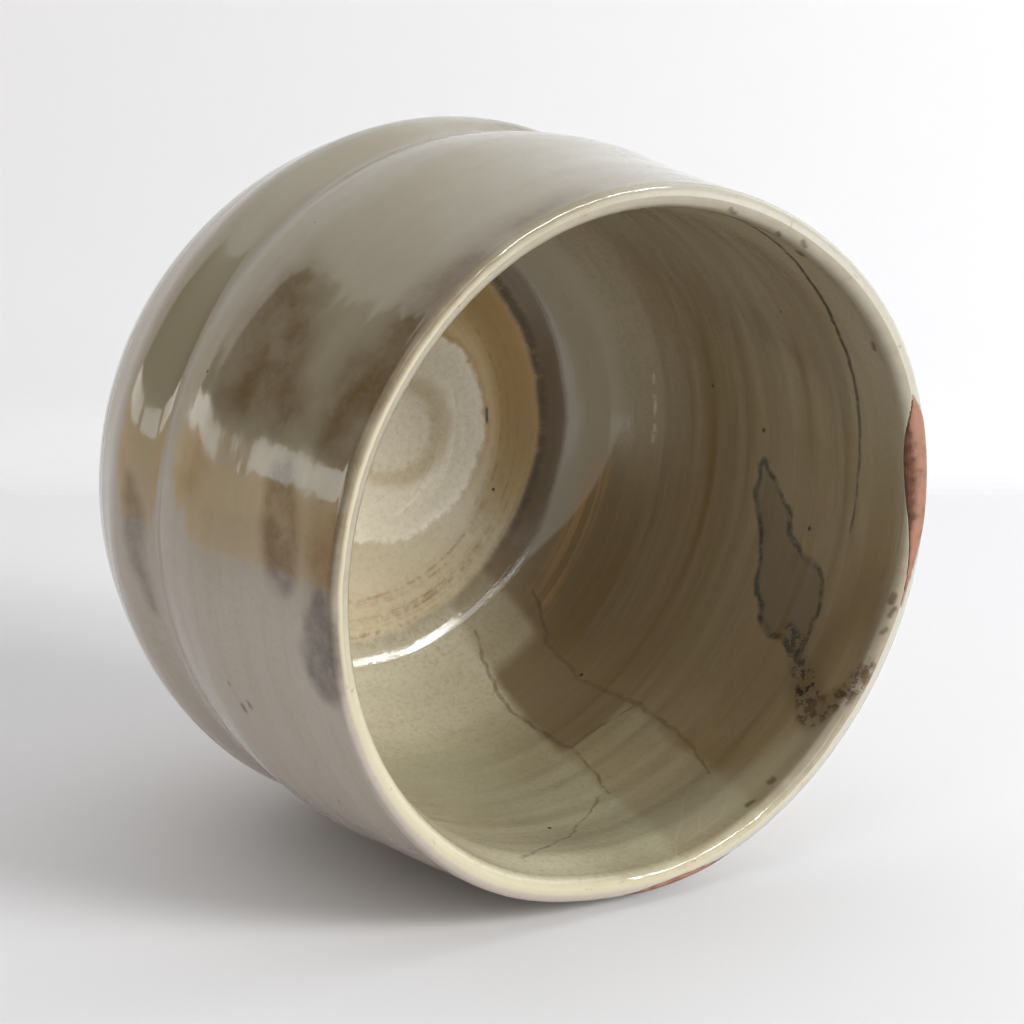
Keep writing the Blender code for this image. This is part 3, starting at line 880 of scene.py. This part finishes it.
# Floor and the corner round it
gold_edge = clouded(inner_radius, 1.2)
past_split = beyond_plane(FLOOR_SPLIT)
upper_half = graded(inner, past_split, -8, 4, 0.15, 1.0)
# Painted reflection: a grey band on the wall just above the corner, standing for the pale room and lip
# reflected in the glaze.
grey_reflection_band = within(inner, gold_edge, DARK_RADIUS, GREY_RADIUS, 0.5)
inner_colour.lay(CORNER_GREY, grey_reflection_band, graded(inner, beyond_plane(*GREY_BAND_END), -0.8, 0.8))
# The ring round the corner of the floor is painted dark brown, more on the upper side: partly dark glaze
# with specks, partly painted shade in the groove where floor meets wall.
dark_ring = fading(inner, gold_edge, DARK_RADIUS - 0.3, DARK_RADIUS + 0.4)
inner_colour.lay(CORNER_BROWN_AND_SHADE, dark_ring, upper_half)
golden = fading(inner, gold_edge, GOLD_RADIUS - 0.6, GOLD_RADIUS + 0.3)
inner_colour.lay(FLOOR_OLIVE, golden)
inner_colour.lay(CORNER_GREY, dark_ring, graded(inner, beyond_plane(RING_TOP), -12, -3, 0.0, 0.35))
gold_side = graded(inner, past_split, -4, 8, 0.1, 1.0)
inner_colour.lay(FLOOR_GOLD, golden, gold_side)
gold_rim = within(inner, gold_edge, GOLD_RADIUS - 4.5, GOLD_RADIUS, 1.5)
inner_colour.lay(GOLD_DARK, gold_rim, gold_side, 0.75)
gold_line = within(inner, gold_edge, GOLD_RADIUS - 0.1, GOLD_RADIUS + 0.9, 0.4)
inner_colour.lay(CORNER_DARK, gold_line, broken(0.35, 0.55), upper_half, 0.8)
brown_rings = within(inner, inner_radius, *BROWN_RINGS, 1.0)
inner_colour.lay(GOLD_DARK, brown_rings, broken(0.3, 0.7), graded(inner, fine_lines, 0.4, 0.7, 0.0, 0.6))
disc_place = clouded(vectors(inner, "DISTANCE", inner_across, DISC_MIDDLE), 2.0)
disc_place = maths(inner, "MULTIPLY_ADD", line_breaks, 1.2, disc_place)
inner_colour.lay(FLOOR_PALE, fading(inner, disc_place, DISC_RADIUS + 0.2, DISC_RADIUS + 0.9))
disc_edge = within(inner, disc_place, DISC_RADIUS + 0.7, DISC_RADIUS + 1.2, 0.3)
inner_colour.lay(GOLD_DARK, disc_edge, gold_side, 0.5)
from_eye = vectors(inner, "SUBTRACT", inner_across, (*SPIRAL_EYE, 0))
eye_parts = put(inner, "SeparateXYZ", {0: from_eye}).outputs
eye_turn = maths(inner, "ARCTAN2", eye_parts[1], eye_parts[0])
eye_far = vectors(inner, "LENGTH", from_eye)
swirl = maths(inner, "MULTIPLY_ADD", eye_far, 2 * math.pi / SPIRAL_PITCH, inner_clouds)
swirl = maths(inner, "SUBTRACT", maths(inner, "ADD", swirl, eye_turn), SPIRAL_START + SWIRL_LAG)
swirl = maths(inner, "MULTIPLY_ADD", line_breaks, 1.6, swirl)
swirl = graded(inner, maths(inner, "COSINE", swirl), -0.3, 1.0)
swirl_reach = times(inner, fading(inner, eye_far, *SWIRL_END), graded(inner, eye_far, *SWIRL_RING))
inner_colour.lay(SWIRL_GOLD, swirl, swirl_reach, 0.55)
floor_grain = graded(inner, cloud(inner, inner_point, 0.7, 6.0, 0.8), 0.42, 0.7, 0.0, 0.25)
inner_colour.lay(GOLD_DARK, floor_grain, fading(inner, inner_radius, 20.0, 23.0))
scratched = times(inner, graded(inner, inner_radius, 12, 19, 0.05, 0.3), broken(0.4, 0.65))
scratched = times(inner, scratched, graded(inner, inner_radius, 22, 26, 1.0, 0.25))
inner_colour.lay(CORNER_DARK, scratched, graded(inner, fine_lines, 0.56, 0.68))
rust = inner_stroke(RUST, -0.5, 1.5, 0.5)
inner_colour.lay(RUST_TINT, rust, graded(inner, fine_lines, 0.4, 0.65, 0.1, 1.0))
scratch_far = vectors(inner, "DISTANCE", inner_point, FLOOR_SCRATCH)
floor_scratch = within(inner, inner_radius, *SCRATCH_RING, 0.1)
inner_colour.lay(STAIN_LINE, floor_scratch, fading(inner, scratch_far, 0.6, 1.1))
# Painted highlight: a thin pale streak low on the far wall, where the window's light glints off the glaze.
inner_colour.lay(WALL_PALE, inner_stroke(PAINTED_HIGHLIGHT_STREAK, 0.0, 0.3, 0.7), broken(0.4, 0.6))

# Crackle, tide lines and hairline
crackle_place = {"Vector": inner_point, "Scale": 1 / CRACKLE_SIZE}
crackle = put(inner, "TexVoronoi", crackle_place, feature="DISTANCE_TO_EDGE").outputs["Distance"]
crackle = times(inner, fading(inner, crackle, 0.003, 0.02), graded(inner, inner_height, *CRACKLED))
inner_colour.lay(CRACKLE_PALE, crackle, fading(inner, past_split, -22, -12, 0.15))
for stops in TIDES:
    inner_colour.lay(TIDE_LINE, inner_stroke(stops, 0.0, 0.25), broken(0.3, 0.65, 0.15, 0.6))
straight_flat = unrolled(inner, inner_point, True, 4.0, 0.8)
hair = fading(inner, stroke_distance(inner, straight_flat, True, HAIRLINE), 0.0, 0.25)
inner_colour.lay(STAIN_LINE, hair, broken(0.3, 0.55, 0.45, 0.85))

# Green and brown washes under the lip, and the dark stain that runs up the wall to it
for stops, colour, depth in ((GREEN_WASH, WASH_GREEN, 0.55), (BROWN_WASH, TIDE_WASH, 0.6)):
    inner_colour.lay(colour, inner_stroke(stops, -1.5, 2.5, depth))
stain_far = stroke_distance(inner, inner_flat, True, STAIN)
inner_colour.lay(STAIN_FILL, fading(inner, stain_far, -0.4, 0.2, 0.6))
stain_edge = within(inner, stain_far, -0.5, 0.18, 0.25)
inner_colour.lay(STAIN_LINE, stain_edge, broken(0.3, 0.6, 0.25, 1.0))
tail = inner_stroke(STAIN_TAIL, -1.0, 1.8)
inner_colour.lay(STAIN_FILL, tail, 0.6)
spot_clouds = cloud(inner, inner_point, 0.9, 4.0, 0.65)
dots = graded(inner, spot_clouds, 0.46, 0.56)
inner_colour.lay(STAIN_LINE, inner_stroke(STAIN_DOTS, -0.3, 0.8), dots)
inner_colour.lay(STAIN_LINE, graded(inner, tail, 0.4, 0.9), graded(inner, spot_clouds, 0.52, 0.6))
inner_pits = use_group(inner, pit_group, {"Point": inner_point, "Spacing": 5.5, "Size": 0.28})["Mask"]
inner_colour.lay(STAIN_LINE, inner_pits)

# Pale rim, narrow where it was wiped and broad where the glaze ran back from the lip
run_back = graded(inner, past_split, -28, -4)
rim_place = {"Point": inner_point, "From Crest": from_crest(inner)}
rim_place["Width"] = graded(inner, run_back, 0.0, 1.0, 0.5, 0.3)
rim_place["Fade"] = graded(inner, run_back, 0.0, 1.0, 0.7, 2.6)
inner_rim = use_group(inner, rim_group, rim_place)
rim_colour = blended(inner, run_back, RIM_CREAM, RIM_GREY)
rim_mottle = graded(inner, cloud(inner, inner_point, 1.6, 5.0, 0.65), 0.35, 0.7, 1.0, 0.55)
rim_share = times(inner, graded(inner, run_back, 0.0, 1.0, 1.0, 0.75), rim_mottle)
inner_colour.lay(rim_colour, inner_rim["Rim"], rim_share)
inner_colour.lay(RIM_WORN, inner_rim["Worn"])
speck_trail = inner_stroke(SPECK_TRAIL, -0.4, 1.0)
inner_colour.lay(STAIN_FILL, speck_trail, 0.3)
inner_colour.lay(SPECK_BROWN, speck_trail, dots)
for azimuth, height, size in LIP_SPOTS:
    ends = [(azimuth - 0.5, height, size), (azimuth + 0.5, height + 0.1, size)]
    inner_colour.lay(SPECK_BROWN, inner_stroke(ends, -0.15, 0.3, 0.75))
join(inner, inner_colour.top, inner_shader.inputs["Base Color"])
inner_gloss = graded(inner, inner_clouds, 0.3, 0.75, 0.04, 0.1)
dull_corner = within(inner, gold_edge, DULL_RADIUS, DARK_RADIUS, 1.0)
dull_corner = times(inner, dull_corner, graded(inner, upper_half, 0.2, 0.9))
inner_gloss = maths(inner, "MULTIPLY_ADD", dull_corner, 0.45, inner_gloss)
join(inner, inner_gloss, inner_shader.inputs["Roughness"])
inner_relief = maths(inner, "MULTIPLY_ADD", fine_lines, 0.5, wide_lines)
corner_grain = graded(inner, within(inner, gold_edge, *GRAINY_CORNER, 2.0), 0.0, 1.0, 0.26, 0.5)
inner_grain = times(inner, cloud(inner, inner_point, 0.3, 2.0), corner_grain)
inner_relief = maths(inner, "ADD", inner_relief, inner_grain)
inner_relief = maths(inner, "SUBTRACT", inner_relief, inner_pits)
inner_bump = put(inner, "Bump", {"Height": inner_relief, "Distance": 0.06 * MM, "Strength": 0.6})
join(inner, inner_bump.outputs[0], inner_shader.inputs["Normal"])
inner_shader.inputs["IOR"].default_value = GLAZE_IOR
inner_coat.data.materials.append(inner_material)
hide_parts("inner_glaze")
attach(inner_coat, "root")

# Lip fills: two chips of the lip made good with red-brown lacquer, laid into the break in thin coats and
# rubbed down, so each is a lens that stands a little proud of the glaze and thins to nothing at its ends.
FILL_ROWS = 17
FILL_COLUMNS = 96
FILL_PROUD = 0.09
FILL_SEAT = 0.2
LACQUER_RED = (0.27, 0.105, 0.058)
LACQUER_DARK = (0.085, 0.03, 0.018)
LACQUER_PALE = (0.36, 0.18, 0.115)
LACQUER_TOP = (58.0, 58.4)
FILL_SWEEP = 0.985
FILL_SINK = 0.02
THINNEST_FILL = 0.04
FULL_DOME_WIDTH = 0.5
lacquer_material, lacquer, lacquer_shader = new_material("red_brown_lacquer")
lacquer_point = surface_point(lacquer)
lacquer_clouds = cloud(lacquer, lacquer_point, 1.6, 5.0, 0.6)
lacquer_colour = Layers(lacquer, LACQUER_DARK)
lacquer_colour.lay(LACQUER_RED, graded(lacquer, lacquer_clouds, 0.35, 0.65))
lacquer_lines = use_group(lacquer, ring_group, {"Point": lacquer_point, "Spacing": 0.35})["Lines"]
lacquer_colour.lay(LACQUER_DARK, graded(lacquer, lacquer_lines, 0.45, 0.65, 0.0, 0.7))
lacquer_height = put(lacquer, "SeparateXYZ", {0: lacquer_point}).outputs[2]
lacquer_height = maths(lacquer, "MULTIPLY_ADD", lacquer_clouds, 0.8, lacquer_height)
lacquer_colour.lay(LACQUER_PALE, graded(lacquer, lacquer_height, *LACQUER_TOP, 0.0, 0.8))
join(lacquer, lacquer_colour.top, lacquer_shader.inputs["Base Color"])
join(lacquer, graded(lacquer, lacquer_clouds, 0.3, 0.7, 0.4, 0.6), lacquer_shader.inputs["Roughness"])
lacquer_bump = put(lacquer, "Bump", {"Height": lacquer_clouds, "Distance": 0.08 * MM, "Strength": 0.6})
join(lacquer, lacquer_bump.outputs[0], lacquer_shader.inputs["Normal"])


def lip_fill(name, chip, node):
    """A lens of lacquer over one chip: a domed face, a back seated in the chip, and an edge between."""
    across = np.linspace(-1, 1, FILL_ROWS)
    sweep = np.linspace(-1, 1, FILL_COLUMNS) * FILL_SWEEP
    angle = np.radians(chip["middle"] + sweep * chip["half"])
    width = np.maximum(chip_width(chip, angle), THINNEST_FILL)
    run = crest_run + chip["shift"] + across[:, None] * width
    angles = np.repeat(angle[None, :], FILL_ROWS, axis=0)
    base = glaze_surface(run, angles)
    normals = grid_normals(base, closed=False)
    dome = np.sqrt(np.clip(1 - across**4, 0, 1))[:, None] * np.clip(width / FULL_DOME_WIDTH, 0, 1)
    face = base + normals * (FILL_PROUD * dome - FILL_SINK)[:, :, None]
    back = base - normals * FILL_SEAT
    points = np.concatenate([face.reshape(-1, 3), back.reshape(-1, 3)])
    count = FILL_ROWS * FILL_COLUMNS
    index = np.arange(count).reshape(FILL_ROWS, FILL_COLUMNS)
    corners = (index[:-1, :-1], index[:-1, 1:], index[1:, 1:], index[1:, :-1])
    quads = np.stack(corners, axis=-1).reshape(-1, 4)
    border = np.concatenate([index[0], index[1:, -1], index[-1, -2::-1], index[-2:0:-1, 0]])
    after = np.roll(border, -1)
    edge = np.stack([after, border, border + count, after + count], axis=-1)
    faces = quads.tolist() + (quads[:, ::-1] + count).tolist() + edge.tolist()
    fill = new_piece(name, points, faces)
    fill.data.materials.append(lacquer_material)
    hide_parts(node)
    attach(fill, "root")


lip_fill("long_lacquer_fill", LONG_CHIP, "long_lip_fill")
lip_fill("short_lacquer_fill", SHORT_CHIP, "short_lip_fill")

# Camera: the photograph's viewpoint, looking down into the mouth of the cup as it lies on its side.
CAMERA_PLACE = Vector((142.48, -73.072, 244.791)) * MM
CAMERA_FORWARD = Vector((-0.54233, 0.28326, -0.79097))
CAMERA_UP = Vector((-0.1691, -0.95899, -0.22749))
CAMERA_LENS = 100
CAMERA_SENSOR = 36
CAMERA_NEAR = 0.01
camera_data = bpy.data.cameras.new("camera")
camera_data.lens = CAMERA_LENS
camera_data.sensor_width = CAMERA_SENSOR
camera_data.clip_start = CAMERA_NEAR
camera = bpy.data.objects.new("camera", camera_data)
camera_right = CAMERA_FORWARD.cross(CAMERA_UP).normalized()
camera_up = camera_right.cross(CAMERA_FORWARD).normalized()
camera_turn = Matrix((camera_right, camera_up, -CAMERA_FORWARD.normalized())).transposed()
camera.matrix_world = Matrix.Translation(CAMERA_PLACE) @ camera_turn.to_4x4()
bpy.context.scene.collection.objects.link(camera)
bpy.context.scene.camera = camera
bpy.context.scene.view_settings.view_transform = "Standard"

# White sheet: paper that the cup lies on, bent up behind it as a backdrop. It is seen from the cup's
# side only, so a view from beneath or behind looks through it.
CAMERA_PITCH = math.radians(14.5)
FLOOR_LEFT = -170
WALL_LEFT = -245
SLANT_START = 60
SHEET_RIGHT = 900
SHEET_FRONT = -900
SHEET_BEND = 139
SHEET_TOP = 900
BEND_RADIUS = 12
BEND_POINTS = 13
CUP_MIDDLE = 30
SHEET_COLOUR = (0.85, 0.85, 0.86)

studio_up = camera_up * math.cos(CAMERA_PITCH) - CAMERA_FORWARD * math.sin(CAMERA_PITCH)
studio_back = (CAMERA_FORWARD - studio_up * CAMERA_FORWARD.dot(studio_up)).normalized()
studio_right = studio_back.cross(studio_up)
rest_height = (glaze_grid.reshape(-1, 3) @ np.array(studio_up)).min()
cup_middle = Vector((0, 0, CUP_MIDDLE))
studio_middle = cup_middle + studio_up * (rest_height - cup_middle.dot(studio_up))


def in_studio(right, back, up):
    """A place in the studio, in mm to the right, to the back and above the table, in the cup's frame."""
    return (studio_middle + studio_right * right + studio_back * back + studio_up * up) * MM


def stage_piece(name, points, faces, material):
    mesh = bpy.data.meshes.new(name)
    mesh.from_pydata([in_studio(*point) for point in points], [], faces)
    mesh.materials.append(material)
    piece = bpy.data.objects.new(name, mesh)
    bpy.context.scene.collection.objects.link(piece)
    return piece


sheet_material, sheet_tree, sheet_shader = new_material("white_sheet")
sheet_shader.inputs["Base Color"].default_value = (*SHEET_COLOUR, 1)
sheet_shader.inputs["Roughness"].default_value = 0.7
sheet_shader.inputs["Specular IOR Level"].default_value = 0.2
see_through = sheet_tree.nodes.new("ShaderNodeBsdfTransparent")
which_side = sheet_tree.nodes.new("ShaderNodeNewGeometry")
one_sided = sheet_tree.nodes.new("ShaderNodeMixShader")
sheet_tree.links.new(which_side.outputs["Backfacing"], one_sided.inputs[0])
sheet_tree.links.new(sheet_shader.outputs[0], one_sided.inputs[1])
sheet_tree.links.new(see_through.outputs[0], one_sided.inputs[2])
sheet_tree.links.new(one_sided.outputs[0], sheet_tree.nodes["Material Output"].inputs["Surface"])
bend_turns = np.linspace(0, math.pi / 2, BEND_POINTS)
bend_backs = SHEET_BEND - BEND_RADIUS * (1 - np.sin(bend_turns))
bend_ups = BEND_RADIUS * (1 - np.cos(bend_turns))
sheet_line = [(FLOOR_LEFT, SHEET_FRONT, 0), (FLOOR_LEFT, SLANT_START, 0)]
sheet_line += [(WALL_LEFT, back, up) for back, up in zip(bend_backs, bend_ups)]
sheet_line += [(WALL_LEFT, SHEET_BEND, SHEET_TOP)]
sheet_points = [(side, back, up) for left, back, up in sheet_line for side in (left, SHEET_RIGHT)]
sheet_faces = [(i, i + 1, i + 3, i + 2) for i in range(0, 2 * len(sheet_line) - 2, 2)]
stage_piece("white_sheet", sheet_points, sheet_faces, sheet_material)

# Side cards: what the gloss of the cup's left side picks up beside the sheet, a tan board bent up at its
# far side, a pale strip over it with a post across, and a dark board above. The camera doesn't see them.
CARD_SIDE = -620
CARD_FRONT = -120
CARD_BACK = 900
STRIP_LOW = 92
STRIP_HIGH = 165
BOARD_TOP = 700
BOARD_DROP = -1
POST_ENDS = (35, 80)
POST_PROUD = 5
TAN = (0.60, 0.38, 0.17)
STRIP_WHITE = (0.9, 0.86, 0.78)
BOARD_DARK = (0.06, 0.05, 0.035)


def card(name, line, ends, colour, strength):
    """A glowing board along a line of (right, up) points, between two places towards the back."""
    material = bpy.data.materials.new(name)
    material.use_nodes = True
    tree = material.node_tree
    tree.nodes.remove(tree.nodes["Principled BSDF"])
    glow = put(tree, "Emission", {"Color": (*colour, 1), "Strength": strength})
    join(tree, glow.outputs[0], tree.nodes["Material Output"].inputs["Surface"])
    corners = [(side, back, up) for side, up in line for back in ends]
    stage_piece(name, corners, [(0, 1, 3, 2)], material).visible_camera = False


CARD_ENDS = (CARD_FRONT, CARD_BACK)
POST_SIDE = CARD_SIDE + POST_PROUD
card("tan_board", [(FLOOR_LEFT - 1, BOARD_DROP), (CARD_SIDE, BOARD_DROP)], CARD_ENDS, TAN, 1.4)
card("tan_upright", [(CARD_SIDE, BOARD_DROP), (CARD_SIDE, STRIP_LOW)], CARD_ENDS, TAN, 1.8)
card("pale_strip", [(CARD_SIDE, STRIP_LOW), (CARD_SIDE, STRIP_HIGH)], CARD_ENDS, STRIP_WHITE, 2.8)
card("tan_post", [(POST_SIDE, STRIP_LOW), (POST_SIDE, STRIP_HIGH)], POST_ENDS, TAN, 1.2)
card("dark_board", [(CARD_SIDE, STRIP_HIGH), (CARD_SIDE, BOARD_TOP)], CARD_ENDS, BOARD_DARK, 1.0)

# Light: a window of two panes low on the right, in front of the cup, with the wider glow round it, a weak
# light farther to the front, a broad soft light high on the left, and the pale room round them.
LIGHT_DISTANCE = 1000
AIM_HEIGHT = 30
# Name, bearing and rise in degrees, width and height in metres, power in watts
LIGHTS = (
    ("left_pane", -35, 24, 0.08, 0.2, 2.1),
    ("right_pane", -21, 24, 0.08, 0.2, 2.1),
    ("window_glow", -29, 24, 0.75, 0.25, 4.7),
    ("front_light", -55, 22, 0.5, 0.09, 0.7),
    ("overhead_light", 190, 60, 1.6, 1.6, 4.4),
)
ROOM_COLOUR = (0.96, 0.98, 1.0)
ROOM_STRENGTH = 0.28


def soft_light(name, bearing, rise, width, height, power):
    """A soft light at a bearing from the studio's right and a rise above the table, turned to the cup."""
    data = bpy.data.lights.new(name, "AREA")
    data.shape = "RECTANGLE"
    data.size, data.size_y = width, height
    data.energy = power
    lamp = bpy.data.objects.new(name, data)
    flat = LIGHT_DISTANCE * math.cos(math.radians(rise))
    up = LIGHT_DISTANCE * math.sin(math.radians(rise))
    turn = math.radians(bearing)
    place = in_studio(flat * math.cos(turn), flat * math.sin(turn), up)
    lamp.location = place
    lamp.rotation_euler = (in_studio(0, 0, AIM_HEIGHT) - place).to_track_quat("-Z", "Y").to_euler()
    bpy.context.scene.collection.objects.link(lamp)
    return lamp


lights = {light[0]: soft_light(*light) for light in LIGHTS}
lights["window_glow"].visible_glossy = False
world = bpy.data.worlds.new("pale_room")
world.use_nodes = True
world.node_tree.nodes["Background"].inputs["Color"].default_value = (*ROOM_COLOUR, 1)
world.node_tree.nodes["Background"].inputs["Strength"].default_value = ROOM_STRENGTH
bpy.context.scene.world = world
